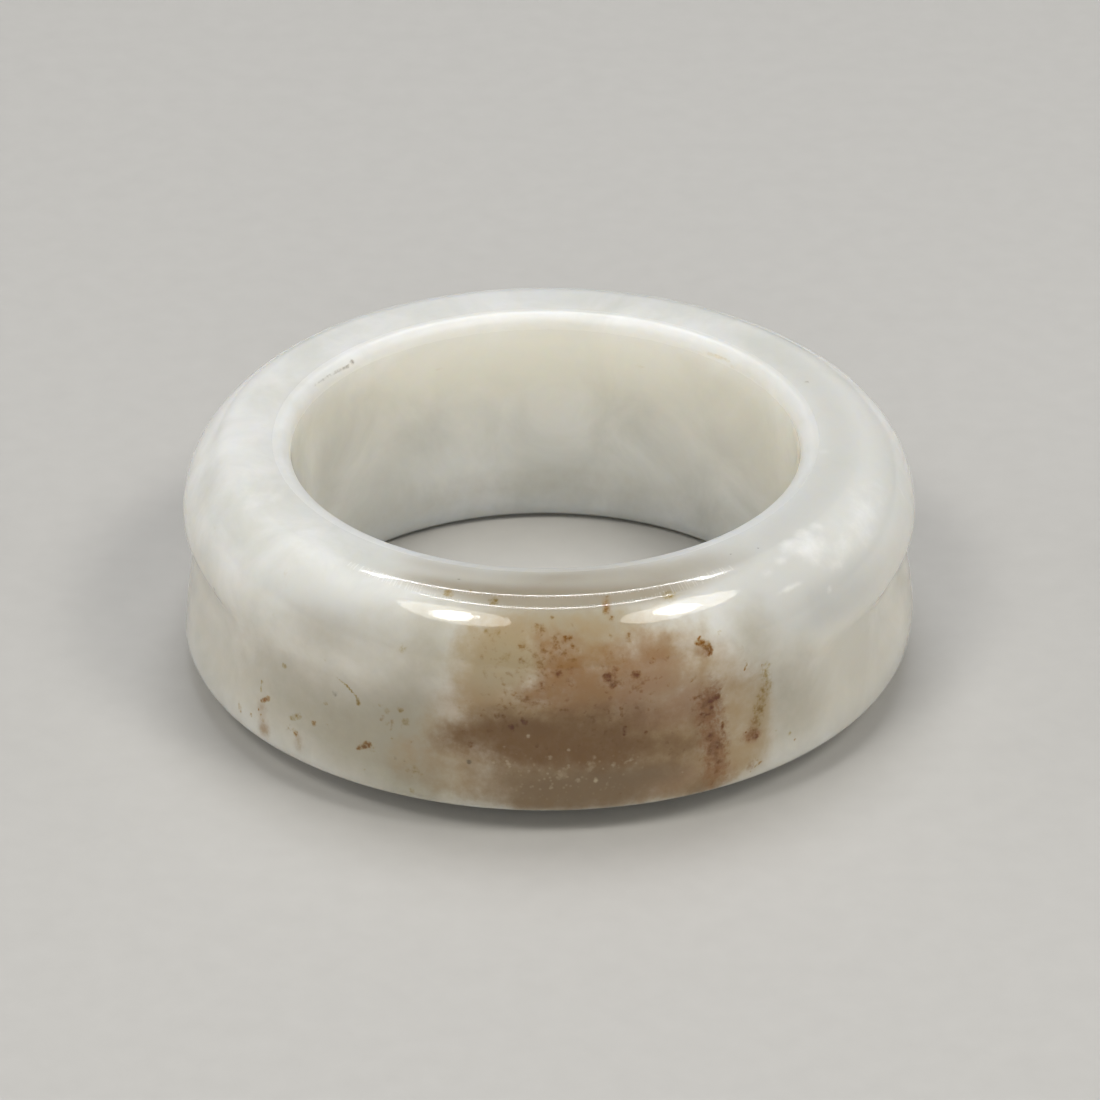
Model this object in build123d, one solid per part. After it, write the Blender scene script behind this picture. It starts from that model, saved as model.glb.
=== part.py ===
# A jade band ring: one solid ring, ground and polished from a single piece of stone.
# It lies on its side, with the finger hole upright. Millimetres, +Z up, and the origin is
# at the centre of the finger hole on the plane that the foot rests on.

import os

from build123d import *

# Driving sizes
bore_diameter = 18.5        # the finger hole
wall = 4.07                 # from the finger hole out to the lower rim, the widest place
band_height = 8.85          # from the foot up to the flat top face
mouth_rounding = 0.5        # on the upper edge of the finger hole
foot_rounding = 0.9         # on its lower edge, beside the foot
lower_edge_rounding = 0.5   # where the lower rim turns into the bevel under it

# Corners of the section, as shares: "out" of the wall, from the finger hole outwards,
# and "up" of the height, from the foot upwards
STATIONS = {
    "foot_edge": {"out": 0.362, "up": 0.0},
    "lower_edge": {"out": 1.0, "up": 0.133},
    "lower_rim": {"out": 1.0, "up": 0.20},
    "waist": {"out": 0.882, "up": 0.559},
    "upper_rim": {"out": 0.988, "up": 0.692},
    "ridge": {"out": 0.666, "up": 0.979},
    "top_edge": {"out": 0.526, "up": 1.0},
}

# How much of each S-curve is the hollow part beside the waist, as a share of its length
hollow_of_flank = 0.2
hollow_of_overhang = 0.4

# The most that a rounding may measure, as a share of the shorter side beside it
rounding_limit = 0.9

bore_radius = bore_diameter / 2
mouth_foot = (bore_radius, 0)
mouth_top = (bore_radius, band_height)
downwards = (0, -1)
upwards = (0, 1)


def station(name):
    """Radius and height of one corner of the section."""
    share = STATIONS[name]
    return (bore_radius + share["out"] * wall, share["up"] * band_height)


def s_curve(rim, waist, hollow_share, rim_tangent, waist_tangent):
    """Two tangent arcs, upright at the rim and at the waist, that meet on the line between them."""
    turn = Vector(waist) + (Vector(rim) - Vector(waist)) * hollow_share
    swell = TangentArc(rim, turn, tangent=rim_tangent)
    hollow = TangentArc(waist, turn, tangent=waist_tangent)
    return [swell, hollow]


def outer_face():
    """The outside of the band, from the lower rim over the waist to the ridge above the shoulder."""
    flank = s_curve(station("lower_rim"), station("waist"), hollow_of_flank, upwards, downwards)
    overhang = s_curve(station("upper_rim"), station("waist"), hollow_of_overhang, downwards, upwards)
    shoulder = TangentArc(station("upper_rim"), station("ridge"), tangent=upwards)
    return flank + overhang + [shoulder]


def straight_sides():
    """The flat and upright sides of the section, from the ridge round to the lower rim."""
    corners = [
        station("ridge"),
        station("top_edge"),
        mouth_top,
        mouth_foot,
        station("foot_edge"),
        station("lower_edge"),
        station("lower_rim"),
    ]
    return [Line(start, end) for start, end in zip(corners, corners[1:])]


def rounded(section, corner, radius, side):
    """The section with one corner rounded, by no more than the shorter side beside it allows."""
    place = Vector(*corner)
    found = section.vertices().sort_by(lambda vertex: (Vector(vertex) - place).length)[0]
    return fillet(found, min(radius, side * rounding_limit))


def band_section():
    """The closed section of the band, with both edges of the hole and the lower edge rounded."""
    section = make_face(outer_face() + straight_sides())
    foot_width = STATIONS["foot_edge"]["out"] * wall
    top_width = STATIONS["top_edge"]["out"] * wall
    rim_width = (STATIONS["lower_rim"]["up"] - STATIONS["lower_edge"]["up"]) * band_height
    section = rounded(section, mouth_foot, foot_rounding, foot_width)
    section = rounded(section, mouth_top, mouth_rounding, top_width)
    return rounded(section, station("lower_edge"), lower_edge_rounding, rim_width)


def jade_band():
    """The whole ring: its section turned once round the finger hole."""
    return revolve(Plane.XZ * band_section(), Axis.Z)


os.makedirs("parts", exist_ok=True)
ring = jade_band()
export_step(ring, "parts/jade_band.step")
print("jade_band", round(ring.volume), "cubic mm, box", ring.bounding_box().size)
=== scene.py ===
# %% [markdown]
# # A jade band ring, lying on its side
#
# The ring is ground from one piece of pale nephrite, so it is one piece here too. Its outside has a
# rounded shoulder on top, a soft waist, and a flank that widens again to the lower rim. We draw one
# side of a cut through the ring, turn it once round the finger hole, paint the stains that the stone
# has, together with some painted shade, a painted glow and a painted sheen, and then light it softly on a
# pale floor.

import math

import bpy
import numpy as np
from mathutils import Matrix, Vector


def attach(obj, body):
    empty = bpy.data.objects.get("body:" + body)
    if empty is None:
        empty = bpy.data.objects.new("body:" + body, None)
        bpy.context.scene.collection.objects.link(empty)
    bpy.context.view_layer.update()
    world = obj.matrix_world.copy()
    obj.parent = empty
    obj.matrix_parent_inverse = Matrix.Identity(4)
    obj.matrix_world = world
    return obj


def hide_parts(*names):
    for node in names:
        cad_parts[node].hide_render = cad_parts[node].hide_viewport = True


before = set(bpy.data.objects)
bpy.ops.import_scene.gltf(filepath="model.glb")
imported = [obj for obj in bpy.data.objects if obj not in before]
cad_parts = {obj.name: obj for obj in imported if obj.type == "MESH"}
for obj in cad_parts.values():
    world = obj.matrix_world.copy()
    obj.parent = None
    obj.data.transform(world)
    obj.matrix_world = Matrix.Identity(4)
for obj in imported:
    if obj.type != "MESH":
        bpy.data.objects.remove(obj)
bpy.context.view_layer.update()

# %% [markdown]
# ## Sizes
#
# The CAD model fixes these sizes, and the looks repeat them. A place in the section is a radius and a
# height. We think in millimetres, because a ring is small, and turn them into Blender's metres only
# where the mesh is made.

# %% Sizes of the band, in millimetres
MM = 0.001
BORE = 9.25             # radius of the finger hole
HEIGHT = 8.85           # from the foot to the top face
MOUTH = 0.5             # rounding of the upper edge of the hole
FOOT_INSIDE = 0.9       # rounding of its lower edge
FOOT_OUTSIDE = 0.4      # rounding of the foot's outer edge
BEVEL_ROUNDING = 0.5    # rounding between the bevel and the lower rim
FOOT_EDGE = (10.722, 0.0)
LOWER_EDGE = (13.32, 1.177)
LOWER_RIM = (13.32, 1.77)
WAIST = (12.839, 4.947)
UPPER_RIM = (13.27, 6.124)
SHOULDER = 3.09         # radius of the rounded shoulder
FLANK_HOLLOW = 0.2      # the hollow share of the way from the waist to the lower rim
OVERHANG_HOLLOW = 0.4   # the same on the way up to the upper rim
print("wall", round(LOWER_RIM[0] - BORE, 2), "mm, height", HEIGHT, "mm")

# %% [markdown]
# ## The section
#
# A grinder shapes such a band with wheels, so each part of its outline is a short arc or a straight
# line, and each leaves its neighbour without a kink. One helper makes the arc that leaves a point in
# a given direction and ends at another point. Everything round in the section is made with it.


# %% Arcs and lines
def arc(start, end, leaving, steps):
    """Points on the arc that leaves start in the direction leaving and comes to end."""
    start, end, leaving = Vector(start), Vector(end), Vector(leaving).normalized()
    chord = end - start
    side = Vector((-leaving.y, leaving.x))
    if side.dot(chord) < 0:
        side = -side
    radius = chord.length_squared / (2 * side.dot(chord))
    sweep = 2 * leaving.angle(chord)
    turns = [sweep * k / steps for k in range(1, steps + 1)]
    return [start + leaving * radius * math.sin(t) + side * radius * (1 - math.cos(t)) for t in turns]


def line(start, end, steps):
    """Points from start to end, without the start."""
    return [Vector(start).lerp(Vector(end), k / steps) for k in range(1, steps + 1)]


def rounded(before, corner, after, radius, steps):
    """A corner between two straight sides, rounded: its first point, and the arc to its last."""
    back = (Vector(before) - Vector(corner)).normalized()
    on = (Vector(after) - Vector(corner)).normalized()
    reach = radius / math.tan(back.angle(on) / 2)
    first = Vector(corner) + back * reach
    return [first] + arc(first, Vector(corner) + on * reach, -back, steps)


# %% [markdown]
# The waist is an S on each side: a swelling arc from the rim, then a hollow one into the waist. The
# two meet on the straight line between rim and waist, so they share one direction there. The shoulder
# is one round arc.


# %% The waist and the shoulder
def s_curve(rim, waist, hollow_share, up, steps):
    """Points from the rim to the waist. Both ends are upright."""
    turn = Vector(waist).lerp(Vector(rim), hollow_share)
    swell = arc(rim, turn, (0, up), steps)
    hollow = arc(waist, turn, (0, -up), steps=8)
    return swell + hollow[-2::-1] + [Vector(waist)]


def shoulder(top_turn, steps):
    """The round shoulder, from the upper rim up to where its surface leans by top_turn degrees."""
    middle = Vector((UPPER_RIM[0] - SHOULDER, UPPER_RIM[1]))
    turns = [math.radians(top_turn) * k / steps for k in range(1, steps + 1)]
    return [middle + Vector((math.cos(t), math.sin(t))) * SHOULDER for t in turns]


# %% [markdown]
# Where the shoulder leans by 55 degrees, a soft corner takes it onto the top face. Points stand closer
# on the upper shoulder, because the facet is cut there.

# %% From the lower rim over the waist to the top face
TOP_TURN = 55         # degrees that the shoulder leans where the soft corner takes over
COARSE_TURN = 36      # degrees up to which its points may stand further apart
LEAST_GAP = 0.02      # millimetres of climb between two points
flank = s_curve(LOWER_RIM, WAIST, FLANK_HOLLOW, up=1, steps=22)
overhang = s_curve(UPPER_RIM, WAIST, OVERHANG_HOLLOW, up=-1, steps=8)
lower_shoulder = shoulder(COARSE_TURN, steps=16)
upper_shoulder = [p for p in shoulder(TOP_TURN, steps=52) if p.y > lower_shoulder[-1].y + LEAST_GAP]

leaves = Vector((-math.sin(math.radians(TOP_TURN)), math.cos(math.radians(TOP_TURN))))
climb_left = HEIGHT - upper_shoulder[-1].y
reach = climb_left / leaves.y
level = Vector((upper_shoulder[-1].x + leaves.x * reach - reach, HEIGHT))
soft_corner = arc(upper_shoulder[-1], level, leaves, steps=14)
print("the shoulder runs into the top face at radius", round(level.x, 2), "mm")

# %% [markdown]
# The rest is straight: the top face, the hole, the foot and the bevel, with rounded corners between
# them. The list runs once round the cut, so the turned shape is closed. The way along the cut from
# the foot's outer edge, called the girth here, is kept for every point, because the stains are
# charted by it.

# %% The whole section
hole_foot, hole_top = (BORE, 0.0), (BORE, HEIGHT)
on_top = (11.1, HEIGHT)      # a point of the top face, from which the next ones stand further apart
section = rounded(hole_foot, FOOT_EDGE, LOWER_EDGE, FOOT_OUTSIDE, steps=3)
lower_turn = rounded(FOOT_EDGE, LOWER_EDGE, LOWER_RIM, BEVEL_ROUNDING, steps=7)
section += line(section[-1], lower_turn[0], steps=9) + lower_turn[1:]
section += line(section[-1], LOWER_RIM, steps=2) + flank
section += overhang[-2::-1] + [Vector(UPPER_RIM)]
section += lower_shoulder + upper_shoulder + soft_corner
mouth_top = rounded(level, hole_top, hole_foot, MOUTH, steps=8)
section += line(section[-1], on_top, steps=4)
section += line(on_top, mouth_top[0], steps=9) + mouth_top[1:]
mouth_foot = rounded(hole_top, hole_foot, FOOT_EDGE, FOOT_INSIDE, steps=9)
section += line(section[-1], mouth_foot[0], steps=12) + mouth_foot[1:]
section += line(section[-1], section[0], steps=2)[:-1]
strides = [(b - a).length for a, b in zip(section, section[1:])]
girths = [sum(strides[:k]) for k in range(len(section))]
print(len(section), "points round the section, which is", round(girths[-1], 1), "mm long")

# %% [markdown]
# ## One function for nodes
#
# Geometry and materials are both made of nodes here. This function adds one node, sets it, and plugs
# values or other nodes into its inputs. An input is named by its label, or by its place in the list.


# %% Add a node
def put(tree, kind, inputs=None, **settings):
    """Adds a node with its settings. Each input gets a value, a socket, or a node's first output."""
    node = tree.nodes.new(kind)
    for name, value in settings.items():
        setattr(node, name, value)
    shown = [socket for socket in node.inputs if socket.enabled]
    for key, value in (inputs or {}).items():
        socket = shown[key] if isinstance(key, int) else next(s for s in shown if s.name == key)
        if isinstance(value, bpy.types.Node):
            value = next(s for s in value.outputs if s.enabled)
        if isinstance(value, bpy.types.NodeSocket):
            tree.links.new(value, socket)
        else:
            socket.default_value = value
    return node


# %% [markdown]
# ## Turning the section
#
# A Screw modifier could turn the section, but only into a true circle. So a Geometry Nodes tree does
# it: Curve to Mesh carries the section along a circle, and Set Position then places every point by its
# angle, radius and height. Doing the placing ourselves lets us add what a hand grinder leaves: a slight
# lean, gentle waviness, and a flat facet on the front of the shoulder, where the edge was touched up on
# a wheel. Columns crowd towards the front, where the stains are.

# %% The tree and its inputs
turning = bpy.data.node_groups.new("turn_the_section", "GeometryNodeTree")
turning.interface.new_socket("Geometry", in_out="OUTPUT", socket_type="NodeSocketGeometry")
turning.interface.new_socket("Geometry", in_out="INPUT", socket_type="NodeSocketGeometry")
SIZES = {
    "Columns": 600,             # steps round the ring
    "Crowding": 0.6,            # how much closer the columns stand at the front
    "Top": HEIGHT,              # the rest is in millimetres and degrees too
    "Facet start": 11.493,      # the radius where the cut starts, at the facet's middle
    "Facet slope": 0.451,       # how far it falls there for each millimetre outwards
    "Facet middle": -1.1,
    "Facet half length": 35.0,
    "Facet drift": -0.062,      # how its start has moved at its ends
    "Facet fade": 0.27,         # how much slope it has lost at its ends
    "Facet lift": 0.3,          # how fast it rises out of the stone beyond them
    "Ridge rounding": 0.02,     # at the facet's middle
    "Ridge fade": -0.015,       # how that has changed at its ends
    "Least rounding": 0.003,
    "Lean": 0.08,
    "Left trim": 0.07,          # ground off the left flank
    "Right swell": 0.10,        # left standing on the right
    "Front fill": 0.75,         # how much of the waist is left uncut at the front
    "Waviness": 0.05,
    "Seed": 3.0,                # picks the waves
}
for name, value in SIZES.items():
    kind = "NodeSocketInt" if name == "Columns" else "NodeSocketFloat"
    turning.interface.new_socket(name, in_out="INPUT", socket_type=kind).default_value = value
turning.interface.new_socket("Material", in_out="INPUT", socket_type="NodeSocketMaterial")
given = turning.nodes.new("NodeGroupInput").outputs
print(len(SIZES), "sizes go into the tree")

# %% [markdown]
# First the circle. Each of its points stores its angle, with zero at the front and growing to the
# right. The section's points store where they are, so both numbers are at hand on every point of the
# mesh. The circle's own radius doesn't matter, because every point is placed anew.

# %% The circle, the section and the swept mesh
count = put(turning, "GeometryNodeInputIndex")
share = put(turning, "ShaderNodeMath", {0: count, 1: given["Columns"]}, operation="DIVIDE")
even = put(turning, "ShaderNodeMath", {0: share, 1: 2 * math.pi, 2: -math.pi}, operation="MULTIPLY_ADD")
bend = put(turning, "ShaderNodeMath", {0: even}, operation="SINE")
pull = put(turning, "ShaderNodeMath", {0: bend, 1: given["Crowding"]}, operation="MULTIPLY")
crowded = put(turning, "ShaderNodeMath", {0: even, 1: pull}, operation="SUBTRACT")
circle = put(turning, "GeometryNodeCurvePrimitiveCircle",
             {"Resolution": given["Columns"], "Radius": 11 * MM}, mode="RADIUS")
circle = put(turning, "GeometryNodeStoreNamedAttribute",
             {"Geometry": circle, "Name": "angle", "Value": crowded}, data_type="FLOAT", domain="POINT")

spot = put(turning, "GeometryNodeInputPosition")
drawn = put(turning, "GeometryNodeStoreNamedAttribute",
            {"Geometry": given["Geometry"], "Name": "drawn_at", "Value": spot},
            data_type="FLOAT_VECTOR", domain="POINT")
drawn = put(turning, "GeometryNodeMeshToCurve", {"Mesh": drawn})
swept = put(turning, "GeometryNodeCurveToMesh", {"Curve": circle, "Profile Curve": drawn})

# %% [markdown]
# Now the angle, the radius and the height of every point, in millimetres, as fields.

# %% Read back where each point is
angle = put(turning, "GeometryNodeInputNamedAttribute", {"Name": "angle"}, data_type="FLOAT")
drawn_at = put(turning, "GeometryNodeInputNamedAttribute", {"Name": "drawn_at"}, data_type="FLOAT_VECTOR")
parts = put(turning, "ShaderNodeSeparateXYZ", {0: drawn_at})
radius = put(turning, "ShaderNodeMath", {0: parts.outputs["X"], 1: 1 / MM}, operation="MULTIPLY")
height = put(turning, "ShaderNodeMath", {0: parts.outputs["Z"], 1: 1 / MM}, operation="MULTIPLY")
degrees = put(turning, "ShaderNodeMath", {0: angle}, operation="DEGREES")
sine = put(turning, "ShaderNodeMath", {0: angle}, operation="SINE")
cosine = put(turning, "ShaderNodeMath", {0: angle}, operation="COSINE")

# %% [markdown]
# The outside isn't quite round or centred on the hole: it leans and swells a little to the right, and
# its left flank is ground flatter. All of it fades out towards the hole and the foot, which stay true.
# A Map Range node makes each such fade: it turns the stretch from From Min to From Max into a ramp
# from zero to one.

# %% What the hand leaves on the outside
outside = put(turning, "ShaderNodeMapRange", {"Value": radius, "From Min": 11.4, "From Max": 12.6},
              interpolation_type="SMOOTHSTEP")
raised = put(turning, "ShaderNodeMapRange", {"Value": height, "From Min": 0.6, "From Max": 2.4},
             interpolation_type="SMOOTHSTEP")
outside = put(turning, "ShaderNodeMath", {0: outside, 1: raised}, operation="MULTIPLY")
lean = put(turning, "ShaderNodeMath", {0: sine, 1: given["Lean"]}, operation="MULTIPLY")

to_left = put(turning, "ShaderNodeMapRange", {"Value": sine, "From Min": -0.8, "From Max": -1.0},
              interpolation_type="SMOOTHSTEP")
low = put(turning, "ShaderNodeMapRange", {"Value": height, "From Min": 4.4, "From Max": 3.2},
          interpolation_type="SMOOTHSTEP")
trim = put(turning, "ShaderNodeMath", {0: to_left, 1: low}, operation="MULTIPLY")
trim = put(turning, "ShaderNodeMath", {0: trim, 1: given["Left trim"]}, operation="MULTIPLY")

# %% [markdown]
# A slow noise, read on a circle so that it has no seam, adds the waviness of a hand-held blank. It
# changes on the way up too.

# %% Waviness, and all that the hand leaves
UPWARDS = 0.12        # how far one millimetre of height moves through the noise
around = put(turning, "ShaderNodeCombineXYZ", {"X": sine, "Y": cosine})
aloft = put(turning, "ShaderNodeMath", {0: height, 1: UPWARDS}, operation="MULTIPLY")
around = put(turning, "ShaderNodeVectorMath",
             {0: around, 1: put(turning, "ShaderNodeCombineXYZ", {"Z": aloft})}, operation="ADD")
wave = put(turning, "ShaderNodeTexNoise",
           {"Vector": around, "W": given["Seed"], "Scale": 2.2, "Detail": 1.0}, noise_dimensions="4D")
wave = put(turning, "ShaderNodeMath", {0: wave, 1: 0.5}, operation="SUBTRACT")
wave = put(turning, "ShaderNodeMath", {0: wave, 1: given["Waviness"]}, operation="MULTIPLY")
to_right = put(turning, "ShaderNodeMapRange", {"Value": sine, "From Min": 0.6, "From Max": 1.0},
               interpolation_type="SMOOTHSTEP")
swell = put(turning, "ShaderNodeMath", {0: to_right, 1: given["Right swell"], 2: lean},
            operation="MULTIPLY_ADD")
moved = put(turning, "ShaderNodeMath", {0: swell, 1: trim}, operation="SUBTRACT")
moved = put(turning, "ShaderNodeMath", {0: moved, 1: wave}, operation="ADD")

# %% [markdown]
# The waist is ground deepest at the sides and stays shallower at the front. How far a point lies
# inside the straight line between the two rims says how deep the waist is there, and part of that is
# given back.

# %% Fill the waist at the front
RIM_SLOPE = (UPPER_RIM[0] - LOWER_RIM[0]) / (UPPER_RIM[1] - LOWER_RIM[1])
rims = put(turning, "ShaderNodeMath",
           {0: height, 1: RIM_SLOPE, 2: LOWER_RIM[0] - RIM_SLOPE * LOWER_RIM[1]}, operation="MULTIPLY_ADD")
depth = put(turning, "ShaderNodeMath", {0: rims, 1: radius}, operation="SUBTRACT")
depth = put(turning, "ShaderNodeMath", {0: depth, 1: 0.0}, operation="MAXIMUM")
facing = put(turning, "ShaderNodeMapRange", {"Value": cosine, "From Min": 0.3, "From Max": 0.6},
             interpolation_type="SMOOTHSTEP")
under_rim = put(turning, "ShaderNodeMapRange",
                {"Value": height, "From Min": UPPER_RIM[1] + 0.05, "From Max": UPPER_RIM[1]})
fill = put(turning, "ShaderNodeMath", {0: facing, 1: under_rim}, operation="MULTIPLY")
fill = put(turning, "ShaderNodeMath", {0: fill, 1: given["Front fill"]}, operation="MULTIPLY")
moved = put(turning, "ShaderNodeMath", {0: fill, 1: depth, 2: moved}, operation="MULTIPLY_ADD")
radius_out = put(turning, "ShaderNodeMath", {0: moved, 1: outside, 2: radius}, operation="MULTIPLY_ADD")

# %% [markdown]
# The facet is what a flat wheel cuts off: a cone that slopes down outwards. Its slope fades away from
# its middle, until the cone misses the stone. That leaves a narrow crescent with a ridge on each side,
# barely rounded by the polish: a smooth minimum of the stone and the cone, which is finer where the
# cut is shallow. How deep the cut went is kept for the wheel's marks, and beside the facet it is
# below zero. Past the facet's ends the cone also lifts, so that it stays clear of the stone.

# %% Grind the facet
off = put(turning, "ShaderNodeMath", {0: degrees, 1: given["Facet middle"]}, operation="SUBTRACT")
off = put(turning, "ShaderNodeMath", {0: off, 1: given["Facet half length"]}, operation="DIVIDE")
off = put(turning, "ShaderNodeMath", {0: off, 1: 2.0}, operation="POWER")
start = put(turning, "ShaderNodeMath", {0: off, 1: given["Facet drift"], 2: given["Facet start"]},
            operation="MULTIPLY_ADD")
beyond = put(turning, "ShaderNodeMath", {0: radius_out, 1: start}, operation="SUBTRACT")
slope = put(turning, "ShaderNodeMath", {0: off, 1: given["Facet fade"]}, operation="MULTIPLY")
slope = put(turning, "ShaderNodeMath", {0: given["Facet slope"], 1: slope}, operation="SUBTRACT")
slope = put(turning, "ShaderNodeMath", {0: slope, 1: 0.0}, operation="MAXIMUM")
drop = put(turning, "ShaderNodeMath", {0: beyond, 1: slope}, operation="MULTIPLY")
past = put(turning, "ShaderNodeMath", {0: off, 1: 1.0}, operation="SUBTRACT")
past = put(turning, "ShaderNodeMath", {0: past, 1: 0.0}, operation="MAXIMUM")
clear = put(turning, "ShaderNodeMath", {0: past, 1: given["Facet lift"], 2: given["Top"]},
            operation="MULTIPLY_ADD")
cone = put(turning, "ShaderNodeMath", {0: clear, 1: drop}, operation="SUBTRACT")
soft = put(turning, "ShaderNodeMath", {0: off, 1: given["Ridge fade"], 2: given["Ridge rounding"]},
           operation="MULTIPLY_ADD")
soft = put(turning, "ShaderNodeMath", {0: soft, 1: given["Least rounding"]}, operation="MAXIMUM")
height_out = put(turning, "ShaderNodeMath", {0: height, 1: cone, 2: soft}, operation="SMOOTH_MIN")
cut = put(turning, "ShaderNodeMath", {0: height, 1: cone}, operation="SUBTRACT")

# %% [markdown]
# Radius, angle and height give the place of each point. The tree ends in Realize Instances and Set
# Material.

# %% Place the points and finish the tree
out_x = put(turning, "ShaderNodeMath", {0: radius_out, 1: sine}, operation="MULTIPLY")
out_y = put(turning, "ShaderNodeMath", {0: radius_out, 1: cosine}, operation="MULTIPLY")
out_y = put(turning, "ShaderNodeMath", {0: out_y, 1: -1.0}, operation="MULTIPLY")
place = put(turning, "ShaderNodeCombineXYZ", {"X": out_x, "Y": out_y, "Z": height_out})
place = put(turning, "ShaderNodeVectorMath", {"Vector": place, "Scale": MM}, operation="SCALE")
swept = put(turning, "GeometryNodeStoreNamedAttribute",
            {"Geometry": swept, "Name": "facet_cut", "Value": cut}, data_type="FLOAT", domain="POINT")
shaped = put(turning, "GeometryNodeSetPosition", {"Geometry": swept, "Position": place})
smooth = put(turning, "GeometryNodeSetShadeSmooth", {"Geometry": shaped})
real = put(turning, "GeometryNodeRealizeInstances", {"Geometry": smooth})
dressed = put(turning, "GeometryNodeSetMaterial", {"Geometry": real, "Material": given["Material"]})
put(turning, "NodeGroupOutput", {"Geometry": dressed})
print(len(turning.nodes), "nodes turn the section")

# %% [markdown]
# The section becomes a loop of edges, standing in the plane of X and Z, and the tree becomes its
# modifier. The modifier's inputs are set by the identifiers of their sockets, as Blender asks.

# %% Give the section to the tree
jade = bpy.data.materials.new("nephrite_jade_ground_and_polished")
loop = bpy.data.meshes.new("section")
corners = [(p.x * MM, 0, p.y * MM) for p in section]
loop.from_pydata(corners, [(k, (k + 1) % len(corners)) for k in range(len(corners))], [])
loop.attributes.new("girth", "FLOAT", "POINT").data.foreach_set("value", girths)
ring = bpy.data.objects.new("jade_ring", loop)
bpy.context.scene.collection.objects.link(ring)
turner = ring.modifiers.new("turn", "NODES")
turner.node_group = turning
for item in turning.interface.items_tree:
    if item.in_out == "INPUT" and item.name in SIZES:
        turner[item.identifier] = SIZES[item.name]
    elif item.in_out == "INPUT" and item.name == "Material":
        turner[item.identifier] = jade
print(len(loop.edges), "edges go round the section")

# %% [markdown]
# The result is kept as a plain mesh, so that stains can be painted on its points, and the modifier
# goes.

# %% Run the tree and keep what it made
bpy.context.view_layer.update()
made = ring.evaluated_get(bpy.context.evaluated_depsgraph_get())
solid = bpy.data.meshes.new_from_object(made)
ring.modifiers.clear()
ring.data = solid
solid.name = "jade_ring"
print(len(solid.vertices), "points")

# %% [markdown]
# Light that wanders inside the stone has to know where the inside is. The volume tells: it comes out
# negative where the faces point inwards, and then they are all turned round.


# %% Which way the faces point
def points_of(mesh):
    """The mesh's points in millimetres, one row each."""
    flat = np.empty(len(mesh.vertices) * 3)
    mesh.vertices.foreach_get("co", flat)
    return flat.reshape(-1, 3) / MM


def volume(mesh):
    """Volume in cubic millimetres; it is negative when the faces point inwards."""
    mesh.calc_loop_triangles()
    corner = np.empty(len(mesh.loop_triangles) * 3, dtype=int)
    mesh.loop_triangles.foreach_get("vertices", corner)
    a, b, c = (points_of(mesh)[corner.reshape(-1, 3)[:, k]] for k in range(3))
    return float(np.einsum("ij,ij->i", a, np.cross(b, c)).sum() / 6)


if volume(solid) < 0:
    solid.flip_normals()
print(len(solid.loop_triangles), "triangles,", round(volume(solid)), "cubic mm")

# %% [markdown]
# The ring takes the place of the CAD node and rides on the part's only body.

# %% Put the ring in the frame
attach(ring, "root")
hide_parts("jade_band")
print(ring.name, "takes the place of jade_band")
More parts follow.
